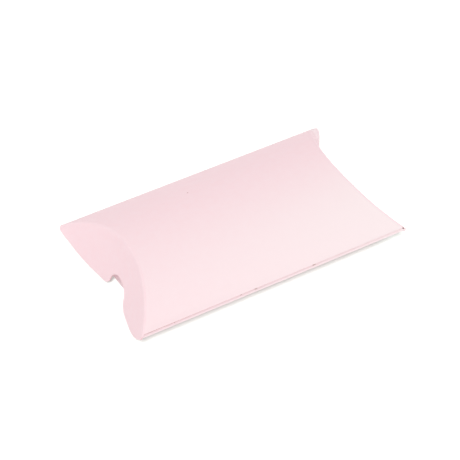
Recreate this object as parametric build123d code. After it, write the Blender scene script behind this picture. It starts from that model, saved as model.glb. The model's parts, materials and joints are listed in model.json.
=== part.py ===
from build123d import *
from math import asin, atan2, cos, degrees, hypot, radians, sin, sqrt
import os

# A pillow-shaped favour box: one creased card sheet, glued along its front long edge.
# X runs along the box, Y from the glued edge to the plain fold, Z up.
# The lowest line of the base panel lies at Z = 0, under the middle of the box.

# Sheet and sleeve
box_length = 120.0  # corner to corner along X
box_width = 70.0  # fold to fold along Y, less the tab's thickness at the seam
panel_rise = 13.8  # crown of a panel above the plane of the long folds
crease_depth = 13.2  # how far the middle of an end crease lies in from the corners
card = 0.4  # thickness of the sheet
fold_radius = 0.6  # outside radius of both long folds

# Glued seam at the front
tab_width = 12.0  # round the arc, behind the top panel
tab_setback = 1.3  # bare length of the front fold at each corner
tab_taper = 10.0  # slant of the tab's ends
glue = 0.1  # thickness of the adhesive film
glue_margin = 2.0  # bare card round the film
seam_setback = 0.6  # cut edge of the top panel behind the front fold

# End creases and flaps
crease_width = 1.2  # scored band beside each end crease
score_depth = 0.15  # card pressed away in the scored band
crease_gap = 0.3  # running gap between a scored band and its flap
outer_lean = 15.5  # degrees from upright, foot of the outer flap outwards
inner_lean = 0.0  # degrees from upright, head of the inner flap outwards
flap_relief = 0.5  # end of an outer flap's free edge, in from the side of the box
outer_drop = 9.6  # outer flap's free edge past the line of the corners
outer_straight = 28.0  # straight middle of that free edge, with the notch in it
outer_corner_drop = 0.6  # the same edge at its two ends
inner_relief = 3.5  # end of an inner flap's free edge, in from the side of the box
inner_drop = 5.4  # inner flap's free edge past the line of the corners
notch_radius = 6.5  # round head of the thumb notch in an outer flap
notch_height = 3.0  # centre of that head above the free edge
notch_corner = 4.5  # rounding where the notch runs out into the free edge

# Derived shape of the sleeve
bend_offset = box_width / 2 - fold_radius  # centre line of the back fold
panel_radius = (bend_offset**2 + panel_rise**2 - fold_radius**2) / (2 * (panel_rise - fold_radius))
arc_centre = panel_radius - panel_rise  # arc centres lie this far below and above the fold plane
back_angle = degrees(atan2(bend_offset, arc_centre))  # half angle of a panel at the back fold
tab_radius = panel_radius - card - glue
seam_drop = ((panel_radius - fold_radius) ** 2 - (tab_radius - fold_radius) ** 2) / (4 * arc_centre)
seam_offset = sqrt((panel_radius - fold_radius) ** 2 - (arc_centre + seam_drop) ** 2)
base_angle = degrees(atan2(seam_offset, arc_centre + seam_drop))  # base panel at the front fold
tab_angle = degrees(atan2(seam_offset, arc_centre - seam_drop))  # tab at the front fold
middle_shift = (seam_offset - bend_offset) / 2  # sets the two long edges level about Y = 0
crease_slope = hypot(crease_depth, panel_rise)  # middle line of a crease plane
crease_stretch = crease_slope / panel_rise  # how much the slanting plane lengthens the arc
reach = box_length  # length of a cutter that passes right through


def arc_degrees(length, radius):
    return degrees(length / radius)


def arc_band(radius, thickness, start, end):
    """Face between two arcs about the origin, with square ends, angles from local X."""
    outer = CenterArc((0, 0), radius, start, end - start)
    inner = CenterArc((0, 0), radius - thickness, start, end - start)
    return make_face([outer, inner, Line(outer @ 0, inner @ 0), Line(outer @ 1, inner @ 1)])


def along_box(face):
    """Full-length solid of a cross-section drawn with Y across and Z up."""
    return extrude(Plane.YZ * face, box_length / 2, both=True)


def top_band(radius, thickness, front, back):
    """Band on the top panel's arc, from front to back in degrees from upright."""
    return along_box(Pos(0, -arc_centre) * arc_band(radius, thickness, 90 - back, 90 + front))


def upside_down(solid):
    return mirror(solid, about=Plane.XY)


def other_end(solid):
    return mirror(solid, about=Plane.YZ)


def crease_prism(shift):
    """All that lies on the flap's side of the left top crease, moved towards the panel by shift."""
    plane = Plane((-box_length / 2, 0, 0), x_dir=(0, 1, 0), z_dir=(panel_rise, 0, -crease_depth))
    disc = Pos(0, shift - arc_centre * crease_stretch) * Ellipse(panel_radius, panel_radius * crease_stretch)
    return extrude(plane * disc, reach, both=True)


crease_shift = crease_width * crease_depth / crease_slope  # scored band measured in the crease plane
flap_side = crease_prism(-crease_gap)
band_side = crease_prism(0)
panel_side = crease_prism(crease_shift)


def trim_ends(solid, prism):
    """Cut a piece of the top half at both end creases."""
    return solid - prism - other_end(prism)


def long_panel(front):
    """Top panel, whose front edge lies at this angle."""
    return trim_ends(top_band(panel_radius, card, front, back_angle), panel_side)


def scored_band(front):
    """Pressed band along the left crease of the top panel, the living hinge of its flap."""
    band = top_band(panel_radius, card - score_depth, front, back_angle)
    return (band & panel_side) - band_side


def long_fold(offset, drop, lower, upper):
    """Bend along a long edge, between two angles from the level, trimmed at the creases."""
    bend = along_box(Pos(offset, -drop) * arc_band(fold_radius, card, lower, upper))
    return trim_ends(trim_ends(bend, band_side), upside_down(band_side))


def tapered(solid, setback):
    """Cut the slanting ends of the tab, seen from above, this far in from the corners."""
    foot = box_length / 2 - setback
    head = foot - tab_taper
    near = -box_width / 2
    far = near + tab_width
    outline = make_face(Polyline((-foot, near), (foot, near), (head, far), (-head, far), close=True))
    return solid & extrude(outline, reach, both=True)


def flap_shell(lean, outline):
    """Flap under the left top crease, hanging at this lean, cut to an outline with its foot down."""
    lean = radians(lean)
    corner = (-box_length / 2, 0, 0)
    sag = crease_depth * cos(lean) - panel_rise * sin(lean)
    radius = ((box_width / 2) ** 2 + sag**2) / (2 * sag)
    half = degrees(asin(box_width / 2 / radius))
    section_plane = Plane(corner, x_dir=(0, 1, 0), z_dir=(-sin(lean), 0, -cos(lean)))
    outline_plane = Plane(corner, x_dir=(0, 1, 0), z_dir=(cos(lean), 0, -sin(lean)))
    section = Pos(0, sag - radius) * arc_band(radius + card, card, 90 - half, 90 + half)
    shell = extrude(section_plane * section, reach, both=True)
    return shell & extrude(outline_plane * outline, reach, both=True) & flap_side


def outer_outline():
    """Straight free edge with long rounded shoulders and a round-headed thumb notch."""
    side = box_width / 2 - flap_relief
    span = notch_radius + notch_corner  # between the centres of the head and of a corner
    climb = notch_corner - notch_height
    mouth = sqrt(span**2 - climb**2)
    meet = notch_radius / span
    edge = Line((mouth, -outer_drop), (outer_straight / 2, -outer_drop))
    shoulder = TangentArc(edge @ 1, (side, -outer_corner_drop), tangent=(1, 0))
    corner = TangentArc(edge @ 0, (meet * mouth, meet * climb + notch_height - outer_drop), tangent=(-1, 0))
    right = [corner, edge, shoulder]
    left = [mirror(curve, about=Plane.YZ) for curve in right]
    start = degrees(asin(climb / span))
    notch_head = CenterArc((0, notch_height - outer_drop), notch_radius, start, 180 - 2 * start)
    top = [(side, crease_slope), (-side, crease_slope), (-side, -outer_corner_drop)]
    head = Polyline(shoulder @ 1, *top)
    return make_face([*right, *left, notch_head, head])


def inner_outline():
    """Plain free edge, one shallow arc that passes inside the top panel."""
    side = box_width / 2 - inner_relief
    foot = ThreePointArc((-side, 0), (0, -inner_drop), (side, 0))
    head = Polyline(foot @ 1, (side, crease_slope), (-side, crease_slope), foot @ 0)
    return make_face([foot, head])


# Sleeve
seam_angle = tab_angle - arc_degrees(seam_setback, panel_radius)  # cut front edge of the top panel
tab_end = tab_angle - arc_degrees(tab_width, tab_radius)
film_radius = tab_radius + glue
film_front = seam_angle - arc_degrees(glue_margin, film_radius)
film_end = tab_end + arc_degrees(glue_margin, film_radius)

pieces = {
    "top_panel": long_panel(seam_angle),
    "base_panel": upside_down(long_panel(base_angle)),
    "back_fold": long_fold(bend_offset, 0, back_angle - 90, 90 - back_angle),
    "front_fold": long_fold(-seam_offset, seam_drop, 90 + tab_angle, 270 - base_angle),
    "glue_tab": tapered(top_band(tab_radius, card, tab_angle, -tab_end), tab_setback),
    "glue_film": tapered(top_band(film_radius, glue, film_front, -film_end), tab_setback + glue_margin),
}

# Creases and flaps of the left end, and the same again at the right end
left_end = {
    "outer_crease": scored_band(seam_angle),
    "inner_crease": upside_down(scored_band(base_angle)),
    "outer_flap": flap_shell(outer_lean, outer_outline()),
    "inner_flap": upside_down(flap_shell(inner_lean, inner_outline())),
}
for name, solid in left_end.items():
    pieces["left_" + name] = solid
    pieces["right_" + name] = other_end(solid)

os.makedirs("parts", exist_ok=True)
for name, solid in pieces.items():
    export_step(Pos(0, middle_shift, panel_rise) * solid, f"parts/{name}.step")
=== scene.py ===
import json
import math

import bpy
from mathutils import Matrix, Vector


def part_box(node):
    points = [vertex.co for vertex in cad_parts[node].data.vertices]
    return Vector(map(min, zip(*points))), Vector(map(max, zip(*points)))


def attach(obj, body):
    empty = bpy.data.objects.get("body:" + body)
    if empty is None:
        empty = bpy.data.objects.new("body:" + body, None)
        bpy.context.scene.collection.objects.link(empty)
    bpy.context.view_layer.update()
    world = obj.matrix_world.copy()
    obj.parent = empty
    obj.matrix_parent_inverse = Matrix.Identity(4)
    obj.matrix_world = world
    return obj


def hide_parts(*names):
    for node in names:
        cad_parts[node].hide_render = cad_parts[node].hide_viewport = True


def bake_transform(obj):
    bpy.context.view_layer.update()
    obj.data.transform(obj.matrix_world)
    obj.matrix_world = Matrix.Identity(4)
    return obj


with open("model.json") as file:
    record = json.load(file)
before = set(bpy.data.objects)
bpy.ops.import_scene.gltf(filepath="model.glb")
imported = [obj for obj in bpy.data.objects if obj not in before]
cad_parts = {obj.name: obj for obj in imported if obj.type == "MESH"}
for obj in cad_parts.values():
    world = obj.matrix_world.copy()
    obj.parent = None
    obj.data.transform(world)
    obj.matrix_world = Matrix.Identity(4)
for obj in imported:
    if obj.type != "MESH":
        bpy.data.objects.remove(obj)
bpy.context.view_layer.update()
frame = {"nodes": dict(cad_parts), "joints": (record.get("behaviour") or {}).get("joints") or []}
mm = 0.001
print("frame loaded:", len(frame["nodes"]), "nodes")


def hexToLinear(code):
    channels = [int(code[i:i + 2], 16) / 255 for i in (1, 3, 5)]
    return [c / 12.92 if c <= 0.04045 else ((c + 0.055) / 1.055) ** 2.4 for c in channels] + [1.0]


def addNode(tree, kind, inputs=None, **settings):
    node = tree.nodes.new(kind)
    for name, value in settings.items():
        setattr(node, name, value)
    for key, value in (inputs or {}).items():
        if isinstance(value, bpy.types.Node):
            value = value.outputs[0]  # a node stands for its first output
        if isinstance(value, bpy.types.NodeSocket):
            tree.links.new(value, node.inputs[key])
        else:
            node.inputs[key].default_value = value
    return node


# The card sheet; what isn't given here is read from the frame
sheet = {
    "card": 0.4 * mm,
    "foldRadius": 0.6 * mm,  # outside of both long folds
    "glue": 0.1 * mm,
    "seamSetback": 0.6 * mm,  # top panel's cut edge behind the front fold
    "tabWidth": 12.0 * mm,
    "tabSetback": 1.3 * mm,  # bare fold at each end of the tab
    "tabTaper": 10.0 * mm,  # slant of the tab's ends
    "sharpAngle": math.radians(35.0),  # an edge that turns further is drawn sharp
}
joints = {joint["name"]: joint for joint in frame["joints"]}
crown = joints["left_outer_fold"]["pos_m"]  # middle of the left top crease
rise = crown[2] / 2  # height of the fold plane, and of each panel beyond it
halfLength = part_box("back_fold")[1].x
creaseDepth = halfLength + crown[0]
creaseSlope = creaseDepth / rise
flapLow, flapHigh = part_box("left_outer_flap")
midY = (flapLow.y + flapHigh.y) / 2
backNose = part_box("back_fold")[1].y
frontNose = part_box("front_fold")[0].y

fold = sheet["foldRadius"]
bendOffset = backNose - midY - fold
seamOffset = midY - frontNose - fold
panelRadius = (bendOffset ** 2 + rise ** 2 - fold ** 2) / (2 * (rise - fold))
arcCentre = panelRadius - rise
tabRadius = panelRadius - sheet["card"] - sheet["glue"]
seamDrop = ((panelRadius - fold) ** 2 - (tabRadius - fold) ** 2) / (4 * arcCentre)
backAngle = math.atan2(bendOffset, arcCentre)
baseAngle = math.atan2(seamOffset, arcCentre + seamDrop)
tabAngle = math.atan2(seamOffset, arcCentre - seamDrop)
seamAngle = tabAngle - sheet["seamSetback"] / panelRadius
tabEnd = tabAngle - sheet["tabWidth"] / tabRadius
print("panel radius mm:", round(panelRadius / mm, 2))


# Materials
def newMaterial(name):
    material = bpy.data.materials.new(name)
    material.use_nodes = True
    tree = material.node_tree
    return material, tree, tree.nodes["Principled BSDF"]


cardLook = {
    "dye": "#fcdde2",
    "pale": "#fce0e5",  # thin spots between the fibre clumps
    "paintedLight": "#faeaeb",  # painted light: paler towards the front edge and the right end, where the light falls
    "creaseWearAndHighlight": "#fce7ea",  # stretched fibres along the folds and creases, with a painted highlight along the end creases and on a sprung ear
    "fleck": "#c98f96",
    "clump": 3.0 * mm,  # cloudy formation of the sheet
    "clumpRange": (0.3, 0.7),  # noise levels between which dye turns to pale
    "tooth": 0.45 * mm,  # felt marks are nearer 0.1 mm, drawn coarser so that they show
    "toothDepth": 0.05 * mm,
    "toothStrength": 0.12,
    "roughness": (0.62, 0.8),
    "ior": 1.5,
    "fleckSpacing": 21.0 * mm,
    "fleckSize": 0.4 * mm,
    "fleckCore": 0.6,  # share of that size with no soft edge
    "fleckStrength": 0.8,
    "fleckShift": (0.489 * mm, 4.418 * mm, 2.053 * mm),  # brings one fleck onto the top, behind its middle
}


def dyedCard():
    # Through-dyed uncoated board, felt pressed: a dry matte pastel, faintly cloudy, with a fine tooth
    look = cardLook
    material, tree, surface = newMaterial("dyedUncoatedCard")
    place = addNode(tree, "ShaderNodeTexCoord").outputs["Object"]
    clumps = addNode(tree, "ShaderNodeTexNoise",
                     {"Vector": place, "Scale": 1 / look["clump"], "Detail": 4.0, "Roughness": 0.6})
    thin, thick = look["clumpRange"]
    cloud = addNode(tree, "ShaderNodeMapRange", {0: clumps, 1: thin, 2: thick})
    # painted light, paler towards the front edge and the right end
    paintedLightShare = addNode(tree, "ShaderNodeAttribute", attribute_name="paintedLightShare").outputs["Fac"]
    # crease wear, with a painted highlight along the end creases and on a sprung ear
    wearAndHighlight = addNode(tree, "ShaderNodeAttribute", attribute_name="crease").outputs["Fac"]
    moved = addNode(tree, "ShaderNodeMapping", {"Vector": place, "Location": look["fleckShift"]})
    cells = addNode(tree, "ShaderNodeTexVoronoi", {"Vector": moved, "Scale": 1 / look["fleckSpacing"]})
    radius = look["fleckSize"] / look["fleckSpacing"]
    fleck = addNode(tree, "ShaderNodeMapRange",
                    {0: cells, 1: look["fleckCore"] * radius, 2: radius, 3: look["fleckStrength"], 4: 0.0})
    colour = hexToLinear(look["dye"])
    # Over the dye: paler clumps, painted light, crease wear with painted highlights, then flecks
    for share, layer in ((cloud, "pale"), (paintedLightShare, "paintedLight"), (wearAndHighlight, "creaseWearAndHighlight"), (fleck, "fleck")):
        mixed = addNode(tree, "ShaderNodeMix", {0: share, 6: colour, 7: hexToLinear(look[layer])},
                        data_type="RGBA")
        colour = mixed.outputs[2]
    tooth = addNode(tree, "ShaderNodeTexNoise",
                    {"Vector": place, "Scale": 1 / look["tooth"], "Detail": 3.0, "Roughness": 0.55})
    smooth, rough = look["roughness"]
    grip = addNode(tree, "ShaderNodeMapRange", {0: tooth, 3: smooth, 4: rough})
    bump = addNode(tree, "ShaderNodeBump",
                   {"Strength": look["toothStrength"], "Distance": look["toothDepth"], "Height": tooth})
    tree.links.new(colour, surface.inputs["Base Color"])
    tree.links.new(grip.outputs[0], surface.inputs["Roughness"])
    tree.links.new(bump.outputs[0], surface.inputs["Normal"])
    surface.inputs["IOR"].default_value = look["ior"]
    return material


edgeLook = {
    "core": "#e6b6ba",
    "fibre": "#f3cfd2",
    "paintedShade": "#b27f76",  # painted shade on the cut edge, at the left end of the seam
    "ply": 0.35 * mm,  # streaks that the die leaves in the cut
    "plyDepth": 0.08 * mm,
    "plyStrength": 0.4,
    "roughness": 0.9,
}


def cutEdge():
    # Die-cut edge of the same board: open fibre ends, darker and drier than the pressed faces
    look = edgeLook
    material, tree, surface = newMaterial("rawCutCardEdge")
    place = addNode(tree, "ShaderNodeTexCoord").outputs["Object"]
    streak = addNode(tree, "ShaderNodeTexNoise", {"Vector": place, "Scale": 1 / look["ply"], "Detail": 5.0})
    # painted shade, darkening the cut edge towards the left end of the seam
    paintedShadeShare = addNode(tree, "ShaderNodeAttribute", attribute_name="paintedShadeShare").outputs["Fac"]
    colour = hexToLinear(look["core"])
    for share, layer in ((streak, "fibre"), (paintedShadeShare, "paintedShade")):
        mixed = addNode(tree, "ShaderNodeMix", {0: share, 6: colour, 7: hexToLinear(look[layer])},
                        data_type="RGBA")
        colour = mixed.outputs[2]
    bump = addNode(tree, "ShaderNodeBump",
                   {"Strength": look["plyStrength"], "Distance": look["plyDepth"], "Height": streak})
    tree.links.new(colour, surface.inputs["Base Color"])
    tree.links.new(bump.outputs[0], surface.inputs["Normal"])
    surface.inputs["Roughness"].default_value = look["roughness"]
    return material


nickLook = {"fibre": "#a27d74", "tip": "#c9a59c", "strand": 0.15 * mm, "roughness": 0.95}


def darkFibre():
    # Torn fibre ends where the blank broke out of its sheet: small dull specks, darker brown than the card
    look = nickLook
    material, tree, surface = newMaterial("darkTornFibre")
    place = addNode(tree, "ShaderNodeTexCoord").outputs["Object"]
    strands = addNode(tree, "ShaderNodeTexNoise", {"Vector": place, "Scale": 1 / look["strand"]})
    colour = addNode(tree, "ShaderNodeMix",
                     {0: strands, 6: hexToLinear(look["fibre"]), 7: hexToLinear(look["tip"])},
                     data_type="RGBA")
    tree.links.new(colour.outputs[2], surface.inputs["Base Color"])
    surface.inputs["Roughness"].default_value = look["roughness"]
    return material


glueLook = {"film": "#ece3d2", "thin": "#f4e6e2", "bubble": 0.8 * mm, "roughness": (0.28, 0.45)}


def driedGlue():
    # Rolled-on dispersion glue, dried: a milky skin with small bubbles and a slight gloss
    look = glueLook
    material, tree, surface = newMaterial("driedDispersionGlue")
    place = addNode(tree, "ShaderNodeTexCoord").outputs["Object"]
    bubbles = addNode(tree, "ShaderNodeTexVoronoi", {"Vector": place, "Scale": 1 / look["bubble"]})
    colour = addNode(tree, "ShaderNodeMix",
                     {0: bubbles, 6: hexToLinear(look["film"]), 7: hexToLinear(look["thin"])},
                     data_type="RGBA")
    smooth, rough = look["roughness"]
    gloss = addNode(tree, "ShaderNodeMapRange", {0: bubbles, 3: smooth, 4: rough})
    tree.links.new(colour.outputs[2], surface.inputs["Base Color"])
    tree.links.new(gloss.outputs[0], surface.inputs["Roughness"])
    return material


cardMaterial = dyedCard()
edgeMaterial = cutEdge()
nickMaterial = darkFibre()
glueMaterial = driedGlue()
print("materials made")


def setInputs(modifier, values):
    for item in modifier.node_group.interface.items_tree:
        if item.in_out == "INPUT" and item.name in values:
            modifier[item.identifier] = values[item.name]


def toPlainMesh(piece, rimStart=None):
    graph = bpy.context.evaluated_depsgraph_get()
    mesh = bpy.data.meshes.new_from_object(piece.evaluated_get(graph))
    cut = [mesh.materials[polygon.material_index] == edgeMaterial for polygon in mesh.polygons]
    if rimStart is not None:  # a solidified sheet's rim comes after its two skins
        cut = [k >= rimStart for k in range(len(cut))]
    piece.modifiers.clear()
    mesh.materials.clear()
    for material in (cardMaterial, edgeMaterial):
        mesh.materials.append(material)
    mesh.polygons.foreach_set("material_index", [int(c) for c in cut])
    mesh.polygons.foreach_set("use_smooth", [True] * len(mesh.polygons))
    mesh.set_sharp_from_angle(angle=sheet["sharpAngle"])
    mesh.name = piece.name
    piece.data = mesh


def newPiece(name, mesh=None):
    piece = bpy.data.objects.new(name, mesh or bpy.data.meshes.new(name))
    bpy.context.scene.collection.objects.link(piece)
    return piece


# Glued seam; past the glue the cut edge springs up a little, with a few torn spots in it
seam = {
    "liftLeft": 0.7 * mm,
    "liftRight": 0.04 * mm,
    "liftWidth": 2.2 * mm,
    "liftEnds": 0.045,  # share of the half length over which the corners hold it down
    "tears": {0.113: 0.45 * mm, 0.364: 0.6 * mm, 0.421: 1.1 * mm, 0.646: 1.3 * mm},  # place and width
    "paintedShadeReach": 0.25,  # share of the length over which the painted shade on the edge dies out
    "steps": 120,
}

# The front right corner is drawn out a little further than the other three
drawnCorner = {"length": 1.2 * mm, "reach": 16.0 * mm, "side": midY - 34.9 * mm}


def cornerShare(y):
    return max(0.0, 1 - (y - drawnCorner["side"]) / drawnCorner["reach"]) ** 2


# Bowed card, for the panels, the long folds and the tab: an arc in section, its ends on the curved creases
panelForm = {
    "along": 121,  # grid points along the box, and across each kind of piece
    "panelAcross": 81,
    "foldAcross": 13,
    "tabAcross": 17,
    "insetFade": 0.6 * mm,  # past a flap's end, where the room for its bend closes
    "swell": 0.05 * mm,
    "wave": 28.0 * mm,
    "seed": 3.0,
    "foldWear": 0.35,
    "paintedLightSpan": (-0.75, 0.45),  # painted light dies out between these, -1 being the front edge and 1 the back
    "paintedLightLeft": 0.42,  # share of it at the left end
}


def bowedCardTree():
    tree = bpy.data.node_groups.new("bowedCard", "GeometryNodeTree")
    sizes = ("Radius", "Arc Centre", "Start Angle", "End Angle", "Middle", "Level", "Side", "Half Length",
             "Fold Plane", "Crease Slope", "End Inset", "Flap Limit", "Plan Taper", "Taper From",
             "Lift Left", "Lift Right", "Lift Angle", "Unevenness", "Wave", "Seed", "Wear",
             "Painted Light Front", "Painted Light Back", "Painted Light Left", "Painted Shade Left")
    for name in sizes:
        tree.interface.new_socket(name, in_out="INPUT", socket_type="NodeSocketFloat")
    for name in ("Along", "Across"):
        tree.interface.new_socket(name, in_out="INPUT", socket_type="NodeSocketInt")
    tree.interface.new_socket("Material", in_out="INPUT", socket_type="NodeSocketMaterial")
    tree.interface.new_socket("Geometry", in_out="OUTPUT", socket_type="NodeSocketGeometry")
    given = addNode(tree, "NodeGroupInput").outputs
    counts = {"Vertices X": given["Along"], "Vertices Y": given["Across"]}
    grid = addNode(tree, "GeometryNodeMeshGrid", {"Size X": 2.0, "Size Y": 2.0, **counts})
    cell = addNode(tree, "ShaderNodeSeparateXYZ", {0: addNode(tree, "GeometryNodeInputPosition")})
    along, across = cell.outputs[0], cell.outputs[1]  # both run from -1 to 1
    angle = addNode(tree, "ShaderNodeMapRange",
                    {0: across, 1: -1.0, 2: 1.0, 3: given["Start Angle"], 4: given["End Angle"]})
    sine = addNode(tree, "ShaderNodeMath", {0: angle}, operation="SINE")
    cosine = addNode(tree, "ShaderNodeMath", {0: angle}, operation="COSINE")

    # The cut front edge springs up, less towards the right and not at the corners
    lifting = addNode(tree, "ShaderNodeMapRange",
                      {0: along, 1: -1.0, 2: 1.0, 3: given["Lift Left"], 4: given["Lift Right"]})
    ends = addNode(tree, "ShaderNodeMath", {0: along}, operation="ABSOLUTE")
    ends = addNode(tree, "ShaderNodeMapRange", {0: ends, 1: 1.0 - seam["liftEnds"], 2: 1.0, 3: 1.0, 4: 0.0})
    lifting = addNode(tree, "ShaderNodeMath", {0: lifting, 1: ends}, operation="MULTIPLY")
    lifted = addNode(tree, "ShaderNodeMath", {0: given["Radius"], 1: lifting}, operation="ADD")
    bowed = addNode(tree, "ShaderNodeMapRange",
                    {0: angle, 1: given["Lift Angle"], 2: given["Start Angle"],
                     3: given["Radius"], 4: lifted},
                    interpolation_type="SMOOTHSTEP")
    off = addNode(tree, "ShaderNodeMath", {0: bowed, 1: sine}, operation="MULTIPLY")
    placeY = addNode(tree, "ShaderNodeMath", {0: off, 1: given["Middle"]}, operation="ADD")
    reach = addNode(tree, "ShaderNodeMath", {0: bowed, 1: cosine}, operation="MULTIPLY")
    bow = addNode(tree, "ShaderNodeMath", {0: reach, 1: given["Arc Centre"]}, operation="SUBTRACT")
    placeZ = addNode(tree, "ShaderNodeMath", {0: bow, 1: given["Side"], 2: given["Level"]},
                     operation="MULTIPLY_ADD")

    # Each end lies on the crease: further in the higher the panel stands above the folds
    lift = addNode(tree, "ShaderNodeMath", {0: placeZ, 1: given["Fold Plane"]}, operation="SUBTRACT")
    lift = addNode(tree, "ShaderNodeMath", {0: lift}, operation="ABSOLUTE")
    crease = addNode(tree, "ShaderNodeMath", {0: lift, 1: given["Crease Slope"]}, operation="MULTIPLY")
    end = addNode(tree, "ShaderNodeMath", {0: given["Half Length"], 1: crease}, operation="SUBTRACT")
    aside = addNode(tree, "ShaderNodeMath", {0: off}, operation="ABSOLUTE")
    past = addNode(tree, "ShaderNodeMath", {0: given["Flap Limit"], 1: panelForm["insetFade"]},
                   operation="ADD")
    bent = addNode(tree, "ShaderNodeMapRange", {0: aside, 1: given["Flap Limit"], 2: past, 3: 1.0, 4: 0.0})
    inset = addNode(tree, "ShaderNodeMath", {0: bent, 1: given["End Inset"]}, operation="MULTIPLY")
    end = addNode(tree, "ShaderNodeMath", {0: end, 1: inset}, operation="SUBTRACT")
    into = addNode(tree, "ShaderNodeMath", {0: placeY, 1: given["Taper From"]}, operation="SUBTRACT")
    slant = addNode(tree, "ShaderNodeMath", {0: into, 1: given["Plan Taper"]}, operation="MULTIPLY")
    end = addNode(tree, "ShaderNodeMath", {0: end, 1: slant}, operation="SUBTRACT")
    turned = addNode(tree, "ShaderNodeMath", {0: along, 1: given["Side"]}, operation="MULTIPLY")
    rightHalf = addNode(tree, "ShaderNodeMath", {0: turned, 1: 0.0}, operation="MAXIMUM")
    drawn = addNode(tree, "ShaderNodeMapRange",
                    {0: placeY, 1: drawnCorner["side"] + drawnCorner["reach"], 2: drawnCorner["side"]})
    drawn = addNode(tree, "ShaderNodeMath", {0: drawn, 1: drawn}, operation="MULTIPLY")
    drawn = addNode(tree, "ShaderNodeMath", {0: drawn, 1: rightHalf}, operation="MULTIPLY")
    end = addNode(tree, "ShaderNodeMath", {0: drawn, 1: drawnCorner["length"], 2: end},
                  operation="MULTIPLY_ADD")
    placeX = addNode(tree, "ShaderNodeMath", {0: turned, 1: end}, operation="MULTIPLY")

    # Board is never quite even: a slow swell that dies out at the edges
    plan = addNode(tree, "ShaderNodeCombineXYZ", {0: placeX, 1: placeY})
    scale = addNode(tree, "ShaderNodeMath", {0: 1.0, 1: given["Wave"]}, operation="DIVIDE")
    swell = addNode(tree, "ShaderNodeTexNoise",
                    {"Vector": plan, "W": given["Seed"], "Scale": scale, "Detail": 1.0},
                    noise_dimensions="4D")
    swell = addNode(tree, "ShaderNodeMapRange", {0: swell, 3: -1.0, 4: 0.0})
    for way in (along, across):
        square = addNode(tree, "ShaderNodeMath", {0: way, 1: way}, operation="MULTIPLY")
        dying = addNode(tree, "ShaderNodeMath", {0: 1.0, 1: square}, operation="SUBTRACT")
        swell = addNode(tree, "ShaderNodeMath", {0: swell, 1: dying}, operation="MULTIPLY")
    placeZ = addNode(tree, "ShaderNodeMath", {0: swell, 1: given["Unevenness"], 2: placeZ},
                     operation="MULTIPLY_ADD")

    # Wear, painted light and the painted shade of the cut edge are laid on the flat grid, before it is bent
    front, back = panelForm["paintedLightSpan"]
    # painted light, strongest at the front edge and the right end
    paintedLight = addNode(tree, "ShaderNodeMapRange",
                    {0: across, 1: front, 2: back, 3: given["Painted Light Front"], 4: given["Painted Light Back"]},
                    interpolation_type="SMOOTHSTEP")
    toLeft = addNode(tree, "ShaderNodeMapRange", {0: along, 1: -1.0, 2: 1.0, 3: given["Painted Light Left"], 4: 1.0})
    paintedLight = addNode(tree, "ShaderNodeMath", {0: paintedLight, 1: toLeft}, operation="MULTIPLY")
    # painted shade on the seam's cut edge, dying out from the left end
    paintedShadeShare = addNode(tree, "ShaderNodeMapRange",
                   {0: along, 1: -1.0, 2: -1.0 + 2 * seam["paintedShadeReach"], 3: given["Painted Shade Left"], 4: 0.0})
    card = grid
    for name, value in (("crease", given["Wear"]), ("paintedLightShare", paintedLight), ("paintedShadeShare", paintedShadeShare)):
        card = addNode(tree, "GeometryNodeStoreNamedAttribute",
                       {"Geometry": card, "Name": name, "Value": value}, data_type="FLOAT", domain="POINT")
    place = addNode(tree, "ShaderNodeCombineXYZ", {0: placeX, 1: placeY, 2: placeZ})
    card = addNode(tree, "GeometryNodeSetPosition", {"Geometry": card, "Position": place})
    card = addNode(tree, "GeometryNodeRealizeInstances", {0: card})
    card = addNode(tree, "GeometryNodeSetMaterial", {"Geometry": card, "Material": given["Material"]})
    addNode(tree, "NodeGroupOutput", {0: card})
    return tree


bowedCard = bowedCardTree()


def bowedPiece(name, nodes, values):
    piece = newPiece(name)
    for material in (cardMaterial, edgeMaterial):
        piece.data.materials.append(material)
    shape = piece.modifiers.new("bowedCard", "NODES")
    shape.node_group = bowedCard
    common = {"Middle": midY, "Level": rise, "Side": 1.0, "Half Length": halfLength, "Fold Plane": rise,
              "Crease Slope": creaseSlope, "Wave": panelForm["wave"], "Painted Light Left": panelForm["paintedLightLeft"],
              "Along": panelForm["along"], "Material": cardMaterial}
    setInputs(shape, {**common, **values})
    wall = piece.modifiers.new("wall", "SOLIDIFY")
    wall.thickness = sheet["card"]
    wall.offset = -1.0
    wall.use_even_offset = True
    toPlainMesh(piece, rimStart=2 * (panelForm["along"] - 1) * (values["Across"] - 1))
    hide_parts(*nodes)
    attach(piece, "sleeve")
    print(name, "made:", len(piece.data.polygons), "faces")


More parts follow.
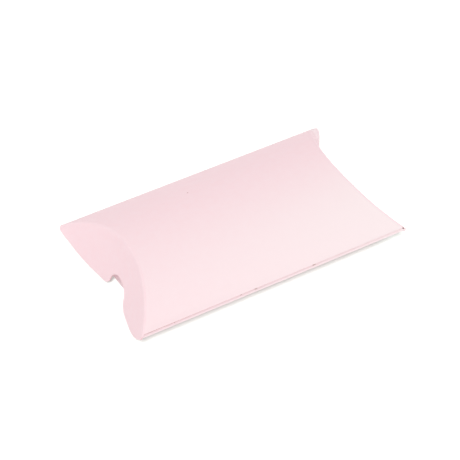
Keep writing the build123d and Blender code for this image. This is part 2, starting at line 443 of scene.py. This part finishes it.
# Bends along the end creases; a flap hangs from each
# The crease's paler line is stretched fibres with a painted highlight along its ridge
creaseBend = {"radius": 1.1 * mm, "rows": 12, "bead": 0.05 * mm, "wearAndHighlight": 0.25, "wearWidth": 0.3}
earForm = {
    "reach": 7.0 * mm,  # corner of an outer flap that springs out
    "length": 1.0 * mm,  # its extra length at the end, for each radian that it springs
}
unsprung = {"left": 0.0, "right": 0.0}
outerFlap = {
    "lean": math.radians(16.9),  # foot outwards, at the quarter points
    "twist": {"left": math.radians(-2.6), "right": 0.0},  # one half springs out further
    "splay": {"left": math.radians(2.5), "right": math.radians(3.0)},  # and the ends further than the middle
    "ears": {"left": (0.0, math.radians(20.0)), "right": (0.0, math.radians(50.0))},  # front and back
    "earHighlight": {"left": 0.0, "right": 8.0},  # painted highlight on a sprung ear: how much paler, for each radian that it springs
    "sides": {"left": (-34.75 * mm, 34.9 * mm), "right": (-34.05 * mm, 34.9 * mm)},  # up to the corners
    "drop": 9.6 * mm,  # free edge past the line of the corners
    "straight": (11.0 * mm, 14.0 * mm),  # from the middle to the front and the back shoulder
    "reach": 34.9 * mm,  # ends of the rounded shoulders
    "cornerDrop": 0.6 * mm,
    "notch": 6.5 * mm,
    "notchHeight": 3.0 * mm,  # centre of the round head above the free edge
    "notchCorner": 4.5 * mm,
    "notchShift": -0.8 * mm,  # cut a little off the middle, towards the front
    "slope": creaseSlope,
}
innerFlap = {
    "lean": 0.0,
    "twist": unsprung,
    "splay": unsprung,
    "ears": {"left": (0.0, 0.0), "right": (0.0, 0.0)},
    "earHighlight": unsprung,
    "sides": {"left": (-31.5 * mm, 31.5 * mm), "right": (-31.5 * mm, 31.5 * mm)},
    "drop": 5.4 * mm,
    "notch": 0.0,  # a plain edge
    "notchHeight": 0.0,
    "notchCorner": 0.0,
    "notchShift": 0.0,
    "slope": 0.9 * creaseSlope,  # the base lies a little flatter than the top
}
flapGrid = {"column": 0.8 * mm, "notchSteps": 16, "cornerSteps": 8, "rows": 16, "quarter": 20.0 * mm}


def earAt(flap, side, y):
    back = int(y > 0)
    share = max(0.0, 1 - abs(flap["sides"][side][back] - y) / earForm["reach"])
    return flap["ears"][side][back] * share ** 3


def leanAt(flap, side, y):
    share = y / flapGrid["quarter"]
    spring = flap["twist"][side] * share + flap["splay"][side] * (share * share - 1)
    return flap["lean"] + spring + earAt(flap, side, y)


def bendTrim(flap):
    return creaseBend["radius"] * math.tan((math.pi / 2 - flap["lean"]) / 2)


def notchMouth(flap):
    span = flap["notch"] + flap["notchCorner"]
    climb = flap["notchCorner"] - flap["notchHeight"]
    turn = math.acos(climb / span) if span else 0.0  # where the head runs into a corner
    return math.sqrt(span ** 2 - climb ** 2), turn


def outerEdge(y):
    flap, off = outerFlap, abs(y)
    level = -flap["drop"]
    head, corner = flap["notch"], flap["notchCorner"]
    mouth, turn = notchMouth(flap)
    aside = abs(y - flap["notchShift"])
    straight = flap["straight"][int(y > 0)]
    if off > straight:
        run, climb = flap["reach"] - straight, flap["drop"] - flap["cornerDrop"]
        radius = (run ** 2 + climb ** 2) / (2 * climb)
        level += radius - math.sqrt(radius ** 2 - (off - straight) ** 2)
    elif aside < head * math.sin(turn):
        level += flap["notchHeight"] + math.sqrt(head ** 2 - aside ** 2)
    elif aside < mouth:
        level += corner - math.sqrt(corner ** 2 - (mouth - aside) ** 2)
    return level


def innerEdge(y):
    side, drop = innerFlap["sides"]["left"][1], innerFlap["drop"]
    radius = (side ** 2 + drop ** 2) / (2 * drop)
    return radius - drop - math.sqrt(radius ** 2 - y ** 2)


# The front fold and the tab take painted light in full, the top panel towards its front; the top panel's cut
# edge takes painted shade at the left
panels = {
    "topPanel": (["top_panel"], {
        "Radius": panelRadius, "Arc Centre": arcCentre, "Start Angle": -seamAngle, "End Angle": backAngle,
        "End Inset": bendTrim(outerFlap), "Flap Limit": outerFlap["sides"]["left"][1],
        "Lift Left": seam["liftLeft"], "Lift Right": seam["liftRight"],
        "Lift Angle": seam["liftWidth"] / panelRadius - seamAngle,
        "Unevenness": panelForm["swell"], "Seed": panelForm["seed"], "Painted Light Front": 1.0, "Painted Shade Left": 1.0,
        "Across": panelForm["panelAcross"]}),
    "basePanel": (["base_panel"], {
        "Radius": panelRadius, "Arc Centre": arcCentre, "Start Angle": -baseAngle, "End Angle": backAngle,
        "Side": -1.0, "Crease Slope": innerFlap["slope"],
        "End Inset": bendTrim(innerFlap), "Flap Limit": innerFlap["sides"]["left"][1],
        "Across": panelForm["panelAcross"]}),
    "backFold": (["back_fold"], {
        "Radius": fold, "Start Angle": backAngle, "End Angle": math.pi - backAngle,
        "Middle": midY + bendOffset, "Wear": panelForm["foldWear"], "Across": panelForm["foldAcross"]}),
    "frontFold": (["front_fold"], {
        "Radius": fold, "Start Angle": baseAngle - math.pi, "End Angle": -tabAngle,
        "Middle": midY - seamOffset, "Level": rise - seamDrop, "Wear": panelForm["foldWear"],
        "Painted Light Front": 1.0, "Painted Light Back": 1.0, "Across": panelForm["foldAcross"]}),
    "glueTab": (["glue_tab"], {
        "Radius": tabRadius, "Arc Centre": arcCentre, "Start Angle": -tabAngle, "End Angle": -tabEnd,
        "Half Length": halfLength - sheet["tabSetback"], "Crease Slope": 0.0,
        "Plan Taper": sheet["tabTaper"] / sheet["tabWidth"], "Taper From": frontNose,
        "Painted Light Front": 1.0, "Across": panelForm["tabAcross"]}),
}
for name, (nodes, values) in panels.items():
    bowedPiece(name, nodes, values)


# Torn fibres along a raw cut edge, scattered on guide lines that carry their outward direction
fibreForm = {"sides": 5, "tip": 0.15, "shortest": 0.25}  # tip and shortest are shares of the full size
fray = {"Spacing": 0.5 * mm, "Length": 0.28 * mm, "Thickness": 0.035 * mm, "Spread": 0.7}
tears = {"Spacing": 0.06 * mm, "Length": 0.5 * mm, "Thickness": 0.06 * mm, "Spread": 0.8}
seeds = {"seamFibres": 5, "seamTears": 11, "outerFlaps": 21, "innerFlaps": 31}


def frayedEdgeTree():
    tree = bpy.data.node_groups.new("frayedEdge", "GeometryNodeTree")
    tree.interface.new_socket("Geometry", in_out="INPUT", socket_type="NodeSocketGeometry")
    for name in ("Spacing", "Length", "Thickness", "Spread"):
        tree.interface.new_socket(name, in_out="INPUT", socket_type="NodeSocketFloat")
    tree.interface.new_socket("Seed", in_out="INPUT", socket_type="NodeSocketInt")
    tree.interface.new_socket("Material", in_out="INPUT", socket_type="NodeSocketMaterial")
    tree.interface.new_socket("Geometry", in_out="OUTPUT", socket_type="NodeSocketGeometry")
    given = addNode(tree, "NodeGroupInput").outputs
    outward = addNode(tree, "GeometryNodeInputNamedAttribute", {"Name": "edgeOut"}, data_type="FLOAT_VECTOR")
    marked = addNode(tree, "ShaderNodeVectorMath", {0: outward}, operation="LENGTH")
    guide = addNode(tree, "ShaderNodeMath", {0: marked.outputs["Value"], 1: 0.5}, operation="GREATER_THAN")
    parts = addNode(tree, "GeometryNodeSeparateGeometry", {"Geometry": given["Geometry"], "Selection": guide})
    line = addNode(tree, "GeometryNodeMeshToCurve", {0: parts.outputs["Selection"]})
    line = addNode(tree, "GeometryNodeResampleCurve", {"Curve": line, "Length": given["Spacing"]},
                   mode="LENGTH")
    fibre = addNode(tree, "GeometryNodeMeshCone",
                    {"Vertices": fibreForm["sides"], "Radius Top": fibreForm["tip"], "Radius Bottom": 1.0,
                     "Depth": 1.0})
    stray = addNode(tree, "FunctionNodeRandomValue",
                    {0: (-1.0, -1.0, -1.0), 1: (1.0, 1.0, 1.0), "Seed": given["Seed"]},
                    data_type="FLOAT_VECTOR")
    stray = addNode(tree, "ShaderNodeVectorMath", {0: stray, "Scale": given["Spread"]}, operation="SCALE")
    aim = addNode(tree, "ShaderNodeVectorMath", {0: outward, 1: stray}, operation="ADD")
    turn = addNode(tree, "FunctionNodeAlignRotationToVector", {"Vector": aim}, axis="Z")
    amount = addNode(tree, "FunctionNodeRandomValue",
                     {2: fibreForm["shortest"], 3: 1.0, "Seed": given["Seed"]}, data_type="FLOAT")
    length = addNode(tree, "ShaderNodeMath", {0: amount.outputs[1], 1: given["Length"]}, operation="MULTIPLY")
    size = addNode(tree, "ShaderNodeCombineXYZ", {0: given["Thickness"], 1: given["Thickness"], 2: length})
    fibres = addNode(tree, "GeometryNodeInstanceOnPoints",
                     {"Points": line, "Instance": fibre.outputs["Mesh"], "Rotation": turn, "Scale": size})
    fibres = addNode(tree, "GeometryNodeRealizeInstances", {0: fibres})
    fibres = addNode(tree, "GeometryNodeSetMaterial", {"Geometry": fibres, "Material": given["Material"]})
    whole = addNode(tree, "GeometryNodeJoinGeometry", {0: parts.outputs["Inverted"]})
    tree.links.new(fibres.outputs[0], whole.inputs[0])
    addNode(tree, "NodeGroupOutput", {0: whole})
    return tree


frayedEdge = frayedEdgeTree()


def setFray(piece, look, seed, material=edgeMaterial):
    scatter = piece.modifiers.new("frayedEdge", "NODES")
    scatter.node_group = frayedEdge
    setInputs(scatter, {**look, "Seed": seed, "Material": material})


def guideMesh(name, lines):
    points, outs, edges = [], [], []
    for line in lines:
        first = len(points)
        points += [place for place, out in line]
        outs += [out for place, out in line]
        edges += [(k, k + 1) for k in range(first, len(points) - 1)]
    mesh = bpy.data.meshes.new(name)
    mesh.from_pydata(points, edges, [])
    attribute = mesh.attributes.new("edgeOut", "FLOAT_VECTOR", "POINT")
    for k, out in enumerate(outs):
        attribute.data[k].vector = out
    return mesh


def seamPoint(share):
    along = 2 * share - 1
    held = min(1.0, (1 - abs(along)) / seam["liftEnds"])
    radius = panelRadius + held * (seam["liftLeft"] + (seam["liftRight"] - seam["liftLeft"]) * share)
    height = radius * math.cos(seamAngle) - arcCentre
    y = midY - radius * math.sin(seamAngle)
    end = halfLength - creaseSlope * height + drawnCorner["length"] * cornerShare(y) * max(0.0, along)
    return Vector((along * end, y, rise + height)), Vector((0, -math.cos(seamAngle), -math.sin(seamAngle)))


def seamPiece(name, lines, look, material):
    piece = newPiece(name, guideMesh(name, lines))
    setFray(piece, look, seeds[name], material)
    toPlainMesh(piece)
    if material == nickMaterial:
        piece.data.materials[0] = nickMaterial
    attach(piece, "sleeve")
    print(name, "made:", len(piece.data.polygons), "faces")


seamLine = [seamPoint(k / seam["steps"]) for k in range(seam["steps"] + 1)]
tearSpans = {place: width / (4 * halfLength) for place, width in seam["tears"].items()}
tearLines = [[seamPoint(place - span), seamPoint(place + span)] for place, span in tearSpans.items()]
seamPiece("seamFibres", [seamLine], fray, edgeMaterial)
seamPiece("seamTears", tearLines, tears, nickMaterial)


# Flaps, each with the bend of its crease: columns run down the card, closer together round the notch
def columnsAcross(flap, sides):
    head, corner, middle = flap["notch"], flap["notchCorner"], flap["notchShift"]
    mouth, turn = notchMouth(flap)
    rounds = []
    if head:
        steps, turns = flapGrid["notchSteps"], flapGrid["cornerSteps"]
        rounds = [head * math.sin(turn * k / steps) for k in range(1, steps + 1)]
        rounds += [mouth - corner * math.sin(turn * (1 - k / turns)) for k in range(1, turns + 1)]
    ways = []
    for side in sides:
        width = abs(side - middle)
        count = round((width - mouth) / flapGrid["column"])
        plain = [mouth + (width - mouth) * k / count for k in range(1, count + 1)]
        ways.append([middle + math.copysign(y, side) for y in rounds + plain])
    return ways[0][::-1] + [middle] + ways[1]


def flapSection(flap, side, edge, y):
    ear, lean, trim = earAt(flap, side, y), leanAt(flap, side, y), bendTrim(flap)
    turn = math.pi / 2 - lean
    radius = trim / math.tan(turn / 2)
    height = math.sqrt(panelRadius ** 2 - y ** 2) - arcCentre
    inward = flap["slope"] * height
    points = []
    for k in range(creaseBend["rows"] + 1):
        share = k / creaseBend["rows"]
        angle = turn * share * share * (3 - 2 * share)
        points.append((inward + trim - radius * math.sin(angle), height - radius + radius * math.cos(angle)))
    plain = lean - ear  # the free edge is cut to the flap as it hangs without its ears
    length = inward * math.sin(plain) + height * math.cos(plain) - edge(y) + earForm["length"] * ear
    for k in range(1, flapGrid["rows"] + 1):
        along = trim + (length - trim) * k / flapGrid["rows"]
        points.append((inward - along * math.sin(lean), height - along * math.cos(lean)))
    return points


def flapPiece(name, side, end, half, flap, edge, seed):
    ys = columnsAcross(flap, flap["sides"][side])
    sections = [flapSection(flap, side, edge, y) for y in ys]
    drawn = [drawnCorner["length"] * cornerShare(midY + y) if side == "right" else 0.0 for y in ys]
    rows, columns = len(sections[0]), len(ys)
    hand = -end * half  # which way round the grid faces out

    def pointAt(i, j):
        inward, height = sections[j][i]
        return Vector((end * (halfLength + drawn[j] - inward), midY + ys[j], rise + half * height))

    outer = [[pointAt(i, j) for j in range(columns)] for i in range(rows)]

    def normalAt(i, j):
        down = outer[min(i + 1, rows - 1)][j] - outer[max(i - 1, 0)][j]
        across = outer[i][min(j + 1, columns - 1)] - outer[i][max(j - 1, 0)]
        return hand * across.cross(down).normalized()

    normals = [[normalAt(i, j) for j in range(columns)] for i in range(rows)]
    fromBend = [(i / creaseBend["rows"] - 0.5) / creaseBend["wearWidth"] for i in range(rows)]
    wearAndHighlight = [creaseBend["wearAndHighlight"] * math.exp(-off ** 2) for off in fromBend]
    flat = [outer[i][j] for i in range(rows) for j in range(columns)]
    inner = [outer[i][j] - normals[i][j] * (sheet["card"] + creaseBend["bead"] * wearAndHighlight[i])
             for i in range(rows) for j in range(columns)]
    count = len(flat)
    faces = []
    for i in range(rows - 1):
        for j in range(columns - 1):
            a = i * columns + j
            quad = (a, a + 1, a + columns + 1, a + columns)
            faces.append(quad if hand > 0 else quad[::-1])
    edges = {(face[k], face[(k + 1) % 4]) for face in faces for k in range(4)}
    rim = sorted((a, b) for a, b in edges if (b, a) not in edges)
    skins = faces + [tuple(count + v for v in reversed(face)) for face in faces]
    faces = skins + [(b, a, a + count, b + count) for a, b in rim]

    foot = rows - 1
    guide = []
    for j in range(columns):
        tangent = outer[foot][min(j + 1, columns - 1)] - outer[foot][max(j - 1, 0)]
        guide.append((outer[foot][j], hand * normals[foot][j].cross(tangent).normalized()))
    first = 2 * count
    mesh = bpy.data.meshes.new(name)
    mesh.from_pydata(flat + inner + [place for place, out in guide],
                     [(first + k, first + k + 1) for k in range(columns - 1)], faces)
    crease = mesh.attributes.new("crease", "FLOAT", "POINT")
    # painted highlight on a sprung ear, taken together with the crease's wear
    highlight = [min(1.0, flap["earHighlight"][side] * earAt(flap, side, y)) for y in ys]
    crease.data.foreach_set("value", 2 * [max(w, r) for w in wearAndHighlight for r in highlight] + [0.0] * columns)
    outward = mesh.attributes.new("edgeOut", "FLOAT_VECTOR", "POINT")
    for k, (place, out) in enumerate(guide):
        outward.data[first + k].vector = out
    for material in (cardMaterial, edgeMaterial):
        mesh.materials.append(material)
    for k, (a, b) in enumerate(rim):
        if a >= columns or b >= columns:  # the first row only butts against the panel
            mesh.polygons[len(skins) + k].material_index = 1
    piece = newPiece(name, mesh)
    setFray(piece, fray, seed)
    toPlainMesh(piece)
    kind = "outer" if half > 0 else "inner"
    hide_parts(f"{side}_{kind}_crease", f"{side}_{kind}_flap")
    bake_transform(piece)
    print(name, "made:", len(piece.data.polygons), "faces")


for side, end in (("left", -1), ("right", 1)):
    flapPiece(f"{side}OuterFlap", side, end, 1, outerFlap, outerEdge, seeds["outerFlaps"] + end)
    flapPiece(f"{side}InnerFlap", side, end, -1, innerFlap, innerEdge, seeds["innerFlaps"] + end)

film = frame["nodes"]["glue_film"]
film.data.materials.clear()
film.data.materials.append(glueMaterial)
print("glue film given its material")


# Studio
studio = {
    "fill": 0.89,  # even light from all round
    "keyPower": 2.05,
    "keySize": 0.9,
    "lampDistance": 1.1,
    "keyFrom": (-0.32, -0.72, 0.63),
    "floorSize": 4.0,
    "floorRoughness": 0.9,
    "floor": "#aeb5b2",  # white paper, as the camera sees it under the floor's own lamp
    "floorBounce": "#aaaaaa",  # the same as it lights the box, less that lamp
    "floorGlow": "#fff4f0",
    "floorLift": 0.345,  # strength of the glow, which keeps the shadow from going black
    "floorPower": 5.3,  # the lamp for the floor alone, just above the camera
    "floorSpread": math.radians(10.0),
    "floorFrom": (-0.343, -0.539, 0.769),
}
camera = {
    "azimuth": -29.56,
    "elevation": 44.63,
    "distance": 0.77,
    "lens": 150.5,
    "aimRight": -0.842 * mm,
    "aimUp": -0.961 * mm,
}


def seenDirectly(tree):
    ray = addNode(tree, "ShaderNodeLightPath").outputs
    seen = addNode(tree, "ShaderNodeMath", {0: ray["Is Camera Ray"], 1: ray["Is Glossy Ray"]},
                   operation="MAXIMUM")
    return addNode(tree, "ShaderNodeMath", {0: seen, 1: ray["Is Transmission Ray"]}, operation="MAXIMUM")


def makeWorld():
    world = bpy.data.worlds.new("whiteStudio")
    world.use_nodes = True
    tree = world.node_tree
    light = tree.nodes["Background"]
    level = addNode(tree, "ShaderNodeMapRange", {0: seenDirectly(tree), 3: studio["fill"], 4: 1.0})
    light.inputs["Color"].default_value = (1.0, 1.0, 1.0, 1.0)
    tree.links.new(level.outputs[0], light.inputs["Strength"])
    bpy.context.scene.world = world


def makeFloor():
    # Matte white paper: no gloss, and a shadow that stays pale
    material, tree, surface = newMaterial("whitePaperSweep")
    seen = seenDirectly(tree)
    colour = addNode(tree, "ShaderNodeMix",
                     {0: seen, 6: hexToLinear(studio["floorBounce"]), 7: hexToLinear(studio["floor"])},
                     data_type="RGBA")
    lift = addNode(tree, "ShaderNodeMath", {0: seen, 1: studio["floorLift"]}, operation="MULTIPLY")
    tree.links.new(colour.outputs[2], surface.inputs["Base Color"])
    tree.links.new(lift.outputs[0], surface.inputs["Emission Strength"])
    surface.inputs["Emission Color"].default_value = hexToLinear(studio["floorGlow"])
    surface.inputs["Roughness"].default_value = studio["floorRoughness"]
    surface.inputs["Specular IOR Level"].default_value = 0.0
    half = studio["floorSize"] / 2
    corners = [(-half, -half, 0), (half, -half, 0), (half, half, 0), (-half, half, 0)]
    mesh = bpy.data.meshes.new("floor")
    mesh.from_pydata(corners, [], [(0, 1, 2, 3)])
    mesh.materials.append(material)
    floor = newPiece("floor", mesh)
    return floor


def makeLamp(name, kind, power, toLight):
    lamp = bpy.data.lights.new(name, kind)
    lamp.energy = power
    light = bpy.data.objects.new(name, lamp)
    toLight = Vector(toLight).normalized()
    light.location = toLight * studio["lampDistance"]
    light.rotation_euler = toLight.to_track_quat("Z", "Y").to_euler()
    bpy.context.scene.collection.objects.link(light)
    return light


def makeCamera():
    look = camera
    lens = bpy.data.cameras.new("camera")
    lens.lens = look["lens"]
    eye = bpy.data.objects.new("camera", lens)
    turn, tilt = math.radians(look["azimuth"]), math.radians(look["elevation"])
    back = Vector((math.sin(turn) * math.cos(tilt), -math.cos(turn) * math.cos(tilt), math.sin(tilt)))
    right = Vector((math.cos(turn), math.sin(turn), 0))
    up = back.cross(right)
    aim = Vector((0, 0, rise)) + right * look["aimRight"] + up * look["aimUp"]
    eye.location = aim + back * look["distance"]
    eye.rotation_euler = back.to_track_quat("Z", "Y").to_euler()
    bpy.context.scene.collection.objects.link(eye)
    bpy.context.scene.camera = eye


makeWorld()
floor = makeFloor()
key = makeLamp("softbox", "AREA", studio["keyPower"], studio["keyFrom"])
key.data.size = studio["keySize"]
floorLamp = makeLamp("floorLamp", "SUN", studio["floorPower"], studio["floorFrom"])
floorLamp.data.angle = studio["floorSpread"]
floorLamp.light_linking.receiver_collection = bpy.data.collections.new("floorOnly")
floorLamp.light_linking.receiver_collection.objects.link(floor)
makeCamera()
bpy.context.scene.view_settings.view_transform = "Standard"
print("studio made")

bpy.context.view_layer.update()
